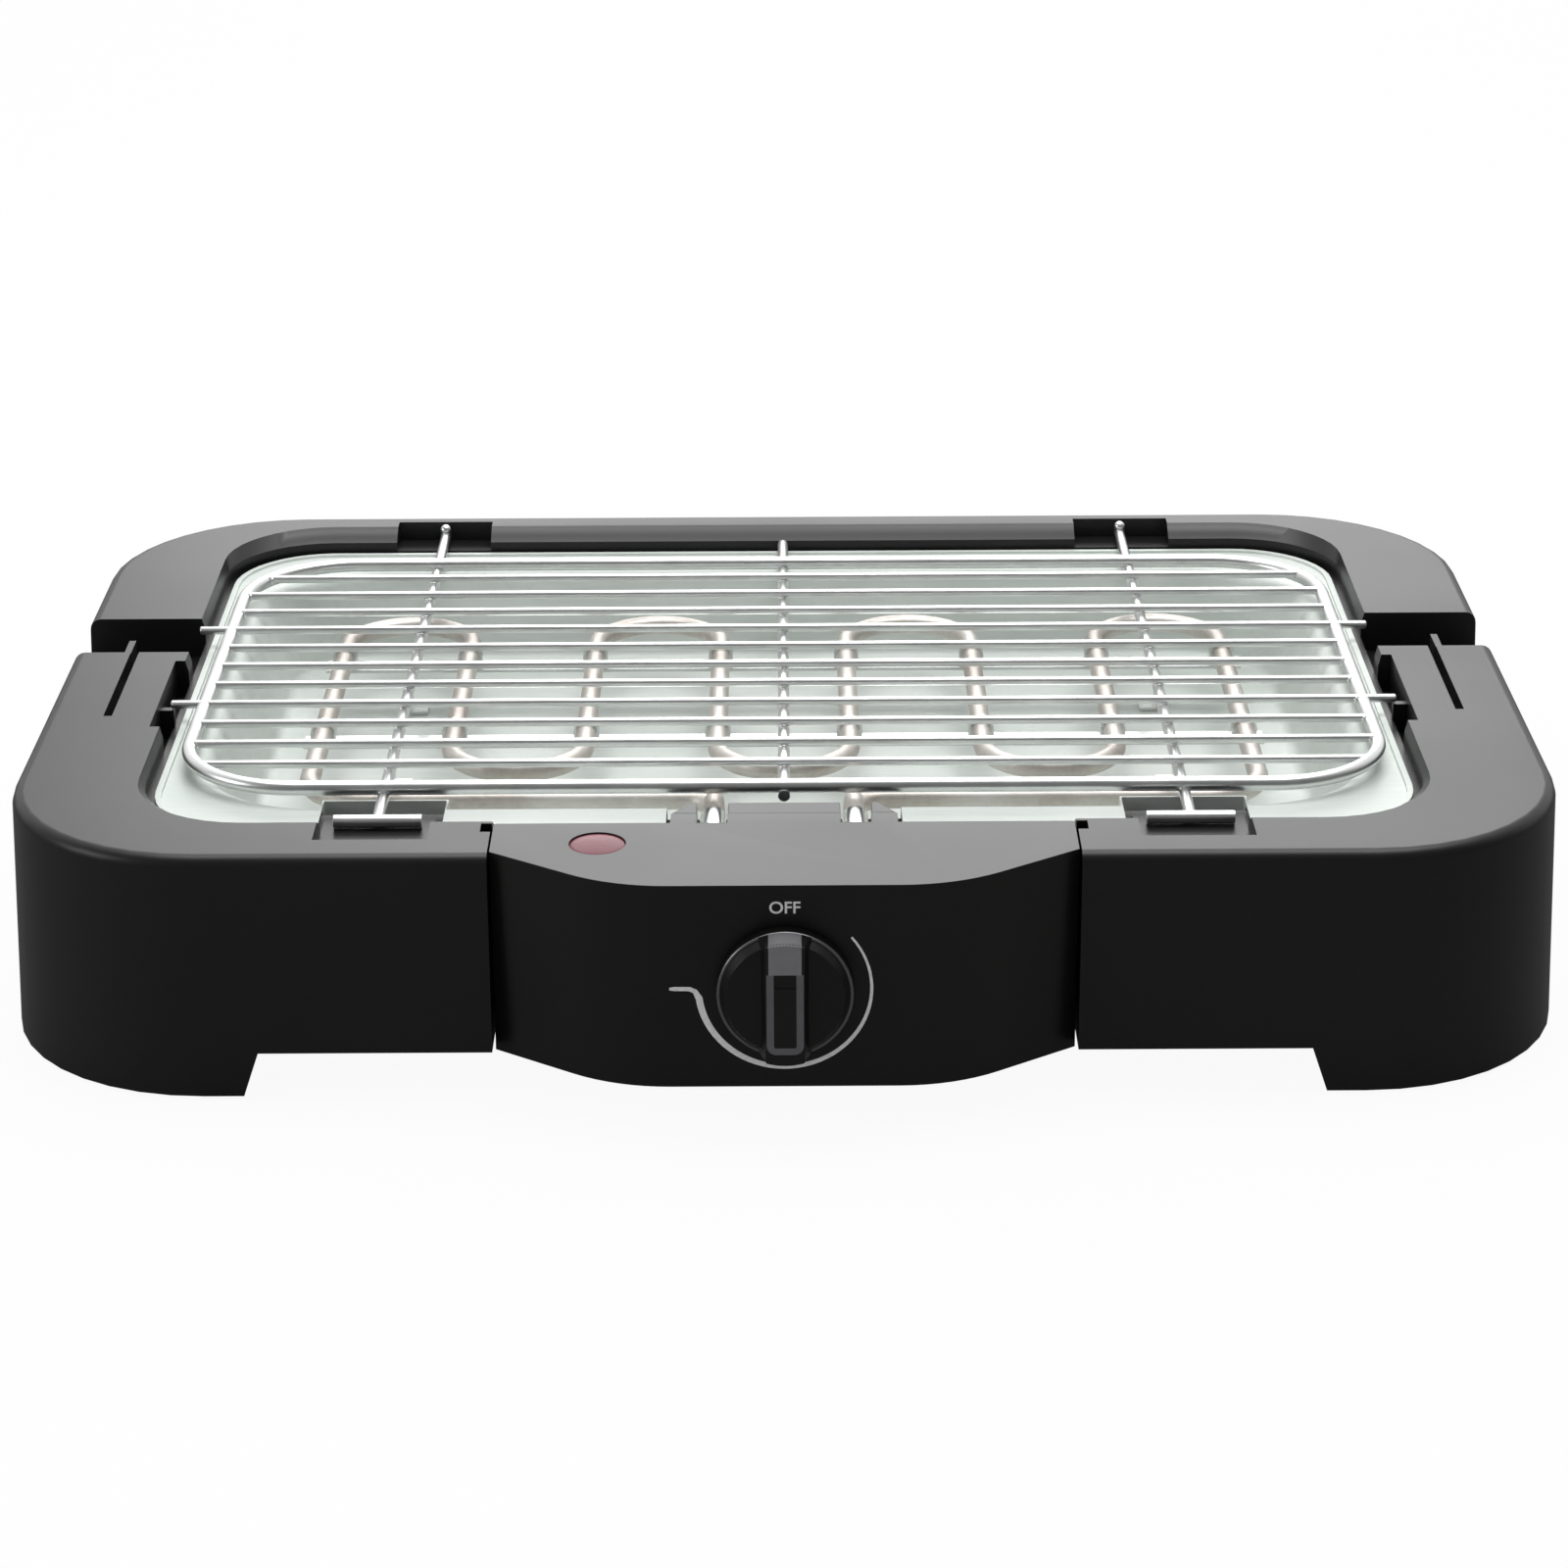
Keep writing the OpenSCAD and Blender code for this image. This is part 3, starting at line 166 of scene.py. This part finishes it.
paper_tree = floor_paper.node_tree
by_camera, by_gloss = seen_by(paper_tree)
white = paper_tree.nodes.new("ShaderNodeEmission")
paper_mix = paper_tree.nodes.new("ShaderNodeMixShader")
feed(white, "Strength", by_camera + 0.12 * by_gloss)
paper_tree.links.new((0.94 * by_camera + 0.9 * by_gloss).out, paper_mix.inputs[0])
paper_tree.links.new(floor_surface.outputs[0], paper_mix.inputs[1])
paper_tree.links.new(white.outputs[0], paper_mix.inputs[2])
paper_tree.links.new(paper_mix.outputs[0], paper_tree.nodes["Material Output"].inputs["Surface"])
floor.data.materials.append(floor_paper)

world = bpy.data.worlds.new("studio")
bpy.context.scene.world = world
world.use_nodes = True
sky_tree = world.node_tree
by_camera, by_gloss = seen_by(sky_tree)
toward = Shade(sky_tree, sky_tree.nodes.new("ShaderNodeTexCoord").outputs["Generated"])
window_side = (0.06, 0.85, 0.52)
behind = toward.node("VectorMath", {"operation": "DOT_PRODUCT"}, {0: toward, 1: window_side}, 1)
mirrored = behind.ramp((0.1, (0.16, 0.16, 0.16)), (0.75, (1.0, 1.0, 1.0)))
room_light = 0.42
by_matt = (1.0 - by_camera) * (1.0 - by_gloss)
sky = sky_tree.nodes["Background"]
sky.inputs["Color"].default_value = (1.0, 1.0, 1.0, 1.0)
feed(sky, "Strength", by_camera + by_gloss * mirrored + room_light * by_matt)


def softbox(name, place, target, size, power):
    lamp = bpy.data.lights.new(name, "AREA")
    lamp.shape = "RECTANGLE"
    lamp.size, lamp.size_y = size
    lamp.energy = power
    box = bpy.data.objects.new(name, lamp)
    bpy.context.scene.collection.objects.link(box)
    box.location = place
    box.rotation_euler = (Vector(target) - Vector(place)).to_track_quat("-Z", "Y").to_euler()


softbox("back_light", (0.1, 2.7, 1.45), (0.0, 0.0, 0.08), (1.7, 1.6), 25.0)
softbox("top_light", (0.1, 0.3, 1.9), (0.0, 0.0, 0.05), (1.6, 1.2), 27.0)
softbox("fill_light", (-1.9, -0.7, 0.7), (0.0, -0.1, 0.05), (0.9, 0.9), 9.0)


# Base frame: one black ring moulded in heat-proof plastic, with four feet. Its edges
# are softened as a mould leaves them, and its skin has a fine spark-eroded grain.
def moulded_black(name, tone, gloss, grain):
    finish, surface, place = new_finish(name, Specular_IOR_Level=0.36)
    cloud = place.noise(9.0, 3.0)
    fleck = place.noise(grain, 2.0)
    dark = tuple(0.82 * c for c in tone)
    light = tuple(1.25 * c for c in tone)
    feed(surface, "Base Color", (0.65 * cloud + 0.35 * fleck).ramp((0.3, dark), (0.7, light)))
    feed(surface, "Roughness", gloss - 0.05 + 0.10 * cloud)
    feed(surface, "Normal", fleck.bump(0.12, 0.00006))
    return finish


body_of = {node: body
           for body, nodes in frame["record"]["behaviour"]["bodies"].items() for node in nodes}


def soften(node, name, finish, edge, smooth=35.0, segments=2, weigh=True):
    """A copy of a frame node with its doubles merged and its edges rounded, which stands
    for the node."""
    bpy.ops.object.select_all(action="DESELECT")
    piece = frame["nodes"][node].copy()
    piece.data = piece.data.copy()
    piece.name = name
    for key in list(piece.keys()):
        del piece[key]
    piece.parent = None
    bpy.context.scene.collection.objects.link(piece)
    bpy.context.view_layer.objects.active = piece
    piece.select_set(True)
    bpy.ops.mesh.customdata_custom_splitnormals_clear()
    bpy.ops.object.mode_set(mode="EDIT")
    bpy.ops.mesh.select_all(action="SELECT")
    bpy.ops.mesh.remove_doubles(threshold=0.000004)
    bpy.ops.mesh.dissolve_limited(angle_limit=math.radians(0.4))
    bpy.ops.object.mode_set(mode="OBJECT")
    bevel = piece.modifiers.new("edge", "BEVEL")
    bevel.width = edge
    bevel.segments = segments
    bevel.limit_method = "ANGLE"
    bevel.angle_limit = math.radians(32.0)
    bevel.miter_outer = "MITER_ARC"
    bpy.ops.object.modifier_apply(modifier="edge")
    bpy.ops.object.shade_smooth_by_angle(angle=math.radians(smooth))
    if weigh:
        evened = piece.modifiers.new("evened", "WEIGHTED_NORMAL")
        evened.keep_sharp = True
        bpy.ops.object.modifier_apply(modifier="evened")
    piece.data.materials.clear()
    piece.data.materials.append(finish)
    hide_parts(node)
    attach(piece, body_of[node])
    return piece


def finish_nodes(finish, *nodes):
    """Gives frame nodes whose shape is right a finish of their own."""
    for node in nodes:
        materials = frame["nodes"][node].data.materials
        materials.clear()
        materials.append(finish)


frame_black = moulded_black("frame_black", (0.0062, 0.0062, 0.0062), 0.38, 1500.0)
soften("base_frame", "base_ring", frame_black, 0.0005)


# Rubber feet: four pads of black rubber, each held by a stem pushed through the foot. The
# bush of the cord inlet is of the same matt rubber.
def soft_black(name, tone, gloss):
    finish, surface, place = new_finish(name, Specular_IOR_Level=0.3)
    grain = place.noise(900.0, 3.0)
    dark = tuple(0.7 * c for c in tone)
    feed(surface, "Base Color", grain.ramp((0.3, dark), (0.75, tone)))
    feed(surface, "Roughness", gloss + 0.12 * grain)
    feed(surface, "Normal", grain.bump(0.2, 0.00008))
    return finish


foot_rubber = soft_black("foot_rubber", (0.022, 0.021, 0.02), 0.72)
finish_nodes(foot_rubber, "rubber_feet", "cord_inlet")


# Heat shield: plain steel sheet under the tray, screwed to six bosses. Rolling has left
# fine streaks along its length.
def rolled_sheet(name, tone, gloss, streak=(18.0, 420.0, 420.0)):
    finish, surface, place = new_finish(name, Metallic=1.0)
    streaks = place.stretched(streak).noise(1.0, 4.0)
    cloud = place.noise(22.0, 3.0)
    dark = tuple(0.86 * c for c in tone)
    feed(surface, "Base Color", (0.5 * streaks + 0.5 * cloud).ramp((0.3, dark), (0.7, tone)))
    feed(surface, "Roughness", gloss - 0.06 + 0.12 * streaks)
    feed(surface, "Normal", streaks.bump(0.08, 0.00005))
    return finish


shield_steel = rolled_sheet("shield_steel", (0.62, 0.63, 0.64), 0.34)
screw_zinc = rolled_sheet("screw_zinc", (0.68, 0.69, 0.72), 0.28, (300.0, 300.0, 300.0))
finish_nodes(shield_steel, "heat_shield", "tube_plate", "thermostat_bracket")
finish_nodes(screw_zinc, "shield_screws", "cover_screws", "plate_rivets", "terminal_pins",
             "bracket_screws", "thermostat_shaft", "knob_clip")

# Drip tray: pale sheet pressed into a bowl, with a beaded flange. The press leaves slow
# waves in the sheet, so it mirrors the white room in soft patches.
tray_finish, tray_surface, tray_place = new_finish(
    "tray_finish", Metallic=0.2, Specular_IOR_Level=0.3)
waves = tray_place.noise(17.0, 2.0)
fine = tray_place.stretched((60.0, 700.0, 700.0)).noise(1.0, 3.0)
feed(tray_surface, "Base Color", (0.7 * waves + 0.3 * fine).ramp(
    (0.32, (0.59, 0.64, 0.605)), (0.68, (0.72, 0.75, 0.725))))
feed(tray_surface, "Roughness", 0.48 + 0.14 * waves)
feed(tray_surface, "Normal", (waves + 0.02 * fine).bump(0.35, 0.0006))
soften("drip_tray", "pressed_tray", tray_finish, 0.00025, smooth=40.0)

# Heating tube: a steel sheath with the heating wire in packed powder, bent in eight legs.
# Heat has tinted the bright steel in faint clouds of straw and grey-brown.
tube_finish, tube_surface, tube_place = new_finish("tube_finish", Metallic=0.85)
tint = tube_place.noise(26.0, 3.0)
scale_marks = tube_place.noise(420.0, 3.0)
feed(tube_surface, "Base Color", (0.8 * tint + 0.2 * scale_marks).ramp(
    (0.3, (0.47, 0.42, 0.38)), (0.5, (0.62, 0.585, 0.545)), (0.72, (0.73, 0.71, 0.68))))
feed(tube_surface, "Roughness", 0.34 + 0.2 * tint)
feed(tube_surface, "Normal", scale_marks.bump(0.12, 0.00005))
finish_nodes(tube_finish, "heating_tube")

# Tube sleeves, support straps and clips: bright steel. The sleeves are turned and pressed on
# the tube's cold ends, and the straps and clips are folded from rolled sheet.
sleeve_steel = rolled_sheet("sleeve_steel", (0.86, 0.87, 0.87), 0.16, (500.0, 60.0, 60.0))
strap_steel = rolled_sheet("strap_steel", (0.74, 0.75, 0.75), 0.26)
finish_nodes(sleeve_steel, "tube_sleeves")
finish_nodes(strap_steel, "support_straps", "tube_clips")

# Control housing: the black box between the frame's front ends, moulded like the frame,
# and its back cover.
housing_black = moulded_black("housing_black", (0.0055, 0.0055, 0.0052), 0.36, 1500.0)
soften("control_housing", "housing_shell", housing_black, 0.0006)
finish_nodes(housing_black, "back_cover")


# Dial print: silver ink on the housing's front, a line that swells from the warm end of the
# knob's turn to the hot one and ends in a tick, and the word that marks the rest position.
def ribbon(name, line, front, depth, finish, body):
    """A flat strip along a line of (x, z, width), its face at y = front, depth thick."""
    bpy.ops.object.select_all(action="DESELECT")
    bpy.ops.mesh.primitive_grid_add(x_subdivisions=len(line) - 1, y_subdivisions=2, size=1.0)
    strip = bpy.context.object
    strip.name = name
    for corner in strip.data.vertices:
        at = round((corner.co.x + 0.5) * (len(line) - 1))
        x, z, width = line[at]
        ahead, behind_it = line[min(at + 1, len(line) - 1)], line[max(at - 1, 0)]
        run = Vector((ahead[0] - behind_it[0], ahead[1] - behind_it[1])).normalized()
        corner.co = (x - run.y * corner.co.y * width, front, z + run.x * corner.co.y * width)
    bpy.ops.object.mode_set(mode="EDIT")
    bpy.ops.mesh.select_all(action="SELECT")
    bpy.ops.mesh.extrude_region_move(TRANSFORM_OT_translate={"value": (0.0, depth, 0.0)})
    bpy.ops.mesh.select_all(action="SELECT")
    bpy.ops.mesh.normals_make_consistent(inside=False)
    bpy.ops.object.mode_set(mode="OBJECT")
    settle(strip, finish, body)


def settle(piece, finish, body):
    """Puts a new piece's place into its mesh and gives it its finish and body."""
    bpy.ops.object.select_all(action="DESELECT")
    piece.select_set(True)
    bpy.context.view_layer.objects.active = piece
    bpy.ops.object.transform_apply(location=True, rotation=True, scale=True)
    piece.data.materials.clear()
    piece.data.materials.append(finish)
    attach(piece, body)


dial_ink, ink_surface, ink_place = new_finish("dial_ink", Metallic=0.3)
ink_grain = ink_place.noise(700.0, 2.0)
feed(ink_surface, "Base Color", ink_grain.ramp(
    (0.3, (0.66, 0.66, 0.67)), (0.7, (0.80, 0.80, 0.81))))
feed(ink_surface, "Roughness", 0.42 + 0.1 * ink_grain)

knob_z = 0.049
front_y = cad_low.y + 0.0135
ink_proud = 0.00006
scale_radius = 0.0274
scale_start, scale_sweep, scale_steps = 187.0, 213.0, 44
hot_width, narrowing = 0.0022, 0.0015
tick = [(-0.0366, knob_z, 0.0009), (-0.0350, knob_z, 0.0014), (-0.0325, knob_z, 0.0014),
        (-0.0301, knob_z - 0.0001, 0.0015), (-0.0285, knob_z - 0.0009, 0.0017)]
arc = []
for step in range(scale_steps + 1):
    turn = math.radians(scale_start + scale_sweep * step / scale_steps)
    arc.append((scale_radius * math.cos(turn), knob_z + scale_radius * math.sin(turn),
                hot_width - narrowing * step / scale_steps))
ribbon("dial_scale", tick + arc, front_y - ink_proud, 0.0002, dial_ink, "unit")

mark_z = 0.0767
bpy.ops.object.select_all(action="DESELECT")
bpy.ops.object.text_add(location=(0.0, front_y, mark_z), rotation=(math.pi / 2, 0.0, 0.0))
mark = bpy.context.object
mark.name = "dial_mark"
mark.data.body = "OFF"
mark.data.align_x = "CENTER"
mark.data.align_y = "CENTER"
mark.data.size = 0.0057
mark.data.offset = 0.00008
mark.data.extrude = ink_proud
bpy.ops.object.convert(target="MESH")
settle(mark, dial_ink, "unit")

# Neck hood: a smooth dark grey moulding behind the housing's top, which covers and guides
# the two ends of the heating tube.
hood_grey = moulded_black("hood_grey", (0.008, 0.0082, 0.0085), 0.36, 1200.0)
soften("neck_hood", "neck_shell", hood_grey, 0.0005)

# Lamp: a crowned lens of clouded rose plastic, pressed into a seat in the housing top. Its
# rose is painted darker at the front and paler towards the rear edge, as painted shade and a
# painted highlight.
lens_finish, lens_surface, lens_place = new_finish("lens_finish", Specular_IOR_Level=0.12)
seat_low, seat_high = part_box("lamp_lens")
lens_radius = 0.5 * (seat_high.x - seat_low.x)
lens_x, lens_y = 0.5 * (seat_low.x + seat_high.x), 0.5 * (seat_low.y + seat_high.y)
lens_base_z = seat_high.z - 0.0055
lens_rim_z = seat_high.z - 0.0006
cloud = lens_place.noise(160.0, 1.0)
along_y = lens_place.node("SeparateXYZ", {}, {0: lens_place}, 1)
painted_light_to_rear = (along_y + (-seat_low.y)) * (0.5 / lens_radius)
# Painted light: the rose runs from painted shade at the lens's front to a painted highlight at
# its rear.
feed(lens_surface, "Base Color", (0.25 * cloud + 0.75 * painted_light_to_rear).ramp(
    (0.2, (0.145, 0.02, 0.034)), (0.58, (0.15, 0.02, 0.035)), (0.82, (0.26, 0.08, 0.098))))
feed(lens_surface, "Roughness", 0.22 + 0.1 * cloud)
bpy.ops.object.select_all(action="DESELECT")
bpy.ops.mesh.primitive_circle_add(vertices=48, radius=lens_radius, fill_type="NGON",
                                  location=(lens_x, lens_y, lens_base_z))
lens = bpy.context.object
lens.name = "rose_lens"
bpy.ops.object.mode_set(mode="EDIT")
bpy.ops.mesh.select_all(action="SELECT")
bpy.ops.mesh.extrude_region_move(
    TRANSFORM_OT_translate={"value": (0.0, 0.0, lens_rim_z - lens_base_z)})
crown = ((0.0003, 0.00014), (0.0010, 0.00011), (0.0016, 0.00012), (0.0018, 0.0001),
         (0.0018, 0.00006), (0.0014, 0.00003))
for inset, rise in crown:
    bpy.ops.mesh.inset(thickness=inset, depth=0.0)
    bpy.ops.transform.translate(value=(0.0, 0.0, rise))
bpy.ops.mesh.select_all(action="SELECT")
bpy.ops.mesh.normals_make_consistent(inside=False)
bpy.ops.object.mode_set(mode="OBJECT")
bpy.ops.object.shade_smooth_by_angle(angle=math.radians(40.0))
settle(lens, lens_finish, body_of["lamp_lens"])
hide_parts("lamp_lens")


# Thermostat, lamp holder and terminal block: off-white ceramic, pressed, fired and left
# unglazed, with a dry fine grain.
def plain_mould(name, tone, gloss, spread=0.9):
    finish, surface, place = new_finish(name)
    grain = place.noise(240.0, 3.0)
    dark = tuple(spread * c for c in tone)
    feed(surface, "Base Color", grain.ramp((0.3, dark), (0.7, tone)))
    feed(surface, "Roughness", gloss + 0.1 * grain)
    feed(surface, "Normal", grain.bump(0.1, 0.00005))
    return finish


ceramic = plain_mould("ceramic", (0.76, 0.73, 0.64), 0.55)
finish_nodes(ceramic, "thermostat_body", "lamp_holder", "terminal_block")

# Brass terminals, the threaded bush and the small screws of the terminal block: stamped or
# turned brass, left bare.
brass = rolled_sheet("brass", (0.78, 0.60, 0.28), 0.28, (300.0, 300.0, 300.0))
finish_nodes(brass, "spade_tabs", "thermostat_bush", "thermostat_tabs", "block_screws",
             "switch_tabs")

# Neon lamp, safety switch, safety pin and inner leads: orange glass, dark blue and orange
# mouldings, and leads in red sleeves that stand the heat.
lamp_glass = plain_mould("lamp_glass", (0.85, 0.5, 0.34), 0.1)
switch_blue = plain_mould("switch_blue", (0.05, 0.065, 0.09), 0.4)
pin_orange = plain_mould("pin_orange", (0.62, 0.12, 0.045), 0.35)
lead_sleeve = plain_mould("lead_sleeve", (0.48, 0.11, 0.07), 0.7, 0.7)
finish_nodes(lamp_glass, "neon_lamp")
finish_nodes(switch_blue, "safety_switch")
finish_nodes(pin_orange, "safety_pin")
finish_nodes(lead_sleeve, "lead_wires")

# Knob: a black dished disc with a grip bar across it, moulded in one. The grip's face is set
# back by a quarter of a millimetre, for the inlay and the line that lie on it.
knob_black = moulded_black("knob_black", (0.005, 0.005, 0.0048), 0.32, 1800.0)
knob = soften("control_knob", "knob_moulding", knob_black, 0.0005, segments=3)
grip_y = cad_low.y + 0.00025
for corner in knob.data.vertices:
    corner.co.y = max(corner.co.y, grip_y)

# Knob inlay: a light grey strip let into the grip's top end, which points at the dial. It runs
# over the end of the grip down to the skirt, and a darker line goes on round the grip's face.
inlay_grey = plain_mould("inlay_grey", (0.15, 0.149, 0.157), 0.38)
line_grey = plain_mould("line_grey", (0.085, 0.085, 0.092), 0.4)
grip_radius = 0.02075
skirt_radius = 0.0216
skirt_y = front_y - 0.0045
inlay_z = knob_z + 0.0107
inlay_half = 0.0052
inlay_y = grip_y - 0.00015
bpy.ops.object.select_all(action="DESELECT")
bpy.ops.mesh.primitive_grid_add(x_subdivisions=10, y_subdivisions=16, size=1.0)
inlay = bpy.context.object
inlay.name = "knob_inlay"
for corner in inlay.data.vertices:
    x = 2.0 * inlay_half * corner.co.x
    along = corner.co.y + 0.5
    over = max(0.0, along - 0.5) * 2.0
    radius = grip_radius + (skirt_radius - grip_radius) * over
    edge_z = knob_z + math.sqrt(radius * radius - x * x)
    face = min(1.0, along * 2.0)
    corner.co = (x, inlay_y + (skirt_y - grip_y) * over, inlay_z + (edge_z - inlay_z) * face)
wall = inlay.modifiers.new("wall", "SOLIDIFY")
wall.thickness = 0.0007
wall.offset = -1.0
bpy.ops.object.modifier_apply(modifier="wall")
bpy.ops.object.mode_set(mode="EDIT")
bpy.ops.mesh.select_all(action="SELECT")
bpy.ops.mesh.normals_make_consistent(inside=False)
bpy.ops.object.mode_set(mode="OBJECT")
bpy.ops.object.shade_smooth_by_angle(angle=math.radians(35.0))
settle(inlay, inlay_grey, "knob")
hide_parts("knob_pointer")

line_width = 0.0023
line_half = 0.0047
line_bend = 0.002
line_low = knob_z - 0.0158
bend_steps = 6
grip_line = [(-line_half, inlay_z, line_width), (-line_half, line_low + line_bend, line_width)]
for step in range(1, bend_steps):
    turn = math.radians(180.0 + 90.0 * step / bend_steps)
    grip_line.append((-line_half + line_bend + line_bend * math.cos(turn),
                      line_low + line_bend + line_bend * math.sin(turn), line_width))
grip_line += [(-x, z, width) for x, z, width in reversed(grip_line)]
ribbon("grip_line", grip_line, grip_y - 0.00012, 0.0003, line_grey,
       "knob")

# Knob ring: a painted highlight, a thin band of grey metal laid on the front edge of the skirt,
# where the knob's rounded rim catches the light.
rim_highlight_metal = rolled_sheet("rim_highlight_metal", (0.26, 0.26, 0.27), 0.34, (300.0, 300.0, 300.0))
bpy.ops.object.select_all(action="DESELECT")
bpy.ops.mesh.primitive_torus_add(
    major_segments=96, minor_segments=12, major_radius=0.0210, minor_radius=0.0007,
    location=(0.0, skirt_y, knob_z), rotation=(math.pi / 2, 0.0, 0.0))
ring = bpy.context.object
ring.name = "knob_rim_highlight"
bpy.ops.object.shade_smooth()
settle(ring, rim_highlight_metal, "knob")

# Grid: steel wire, bent and welded where the wires cross, then plated bright as one piece.
# The cut ends of its bars and rods are rounded off.
chrome, chrome_surface, chrome_place = new_finish("chrome", Metallic=1.0)
plating = chrome_place.noise(60.0, 3.0)
feed(chrome_surface, "Base Color", plating.ramp(
    (0.3, (0.71, 0.72, 0.72)), (0.7, (0.82, 0.83, 0.825))))
feed(chrome_surface, "Roughness", 0.28 + 0.12 * plating)
finish_nodes(chrome, "grid_loop")
soften("grid_bars", "thin_bars", chrome, 0.0006, smooth=40.0, segments=3, weigh=False)
soften("grid_rods", "cross_rods", chrome, 0.0006, smooth=40.0, segments=3, weigh=False)

# Weld beads: small smooth lumps of melted wire where the bars cross the rods and butt on the
# loop's two ends, and where the rods pass under its long runs.
bar_count = 11
rod_places = (-0.1335, 0.0, 0.1335)
loop_bend = 0.040
loop_low, loop_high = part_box("grid_loop")
loop_radius = 0.5 * (loop_high.z - loop_low.z)
first_y, last_y = loop_low.y + loop_radius, loop_high.y - loop_radius
bar_on_rod_z, bar_on_rod = 0.0815, (0.0019, 0.0019, 0.0009)
bar_end_z, bar_end = 0.0827, (0.0012, 0.0019, 0.0015)
loop_on_rod_z, loop_on_rod = 0.0807, (0.0028, 0.0025, 0.0012)
welds = []
for row in range(1, bar_count + 1):
    y = first_y + (last_y - first_y) * row / (bar_count + 1)
    into_bend = max(0.0, first_y + loop_bend - y, y - last_y + loop_bend)
    drawn_in = loop_bend - math.sqrt(loop_bend ** 2 - into_bend ** 2)
    end_x = loop_high.x - 2.0 * loop_radius - drawn_in
    welds += [((x, y, bar_on_rod_z), bar_on_rod) for x in rod_places]
    welds += [((x, y, bar_end_z), bar_end) for x in (-end_x, end_x)]
for y in (first_y, last_y):
    welds += [((x, y, loop_on_rod_z), loop_on_rod) for x in rod_places]
bpy.ops.object.select_all(action="DESELECT")
bead_parts = []
for count, (place, size) in enumerate(welds):
    swell = 1.0 + 0.1 * math.sin(2.4 * count)
    bpy.ops.mesh.primitive_ico_sphere_add(subdivisions=2, radius=1.0, location=place,
                                          scale=[swell * side for side in size])
    bead_parts.append(bpy.context.object)
for part in bead_parts:
    part.select_set(True)
bpy.ops.object.join()
beads = bpy.context.object
beads.name = "weld_beads"
bpy.ops.object.shade_smooth()
settle(beads, chrome, body_of["grid_bars"])
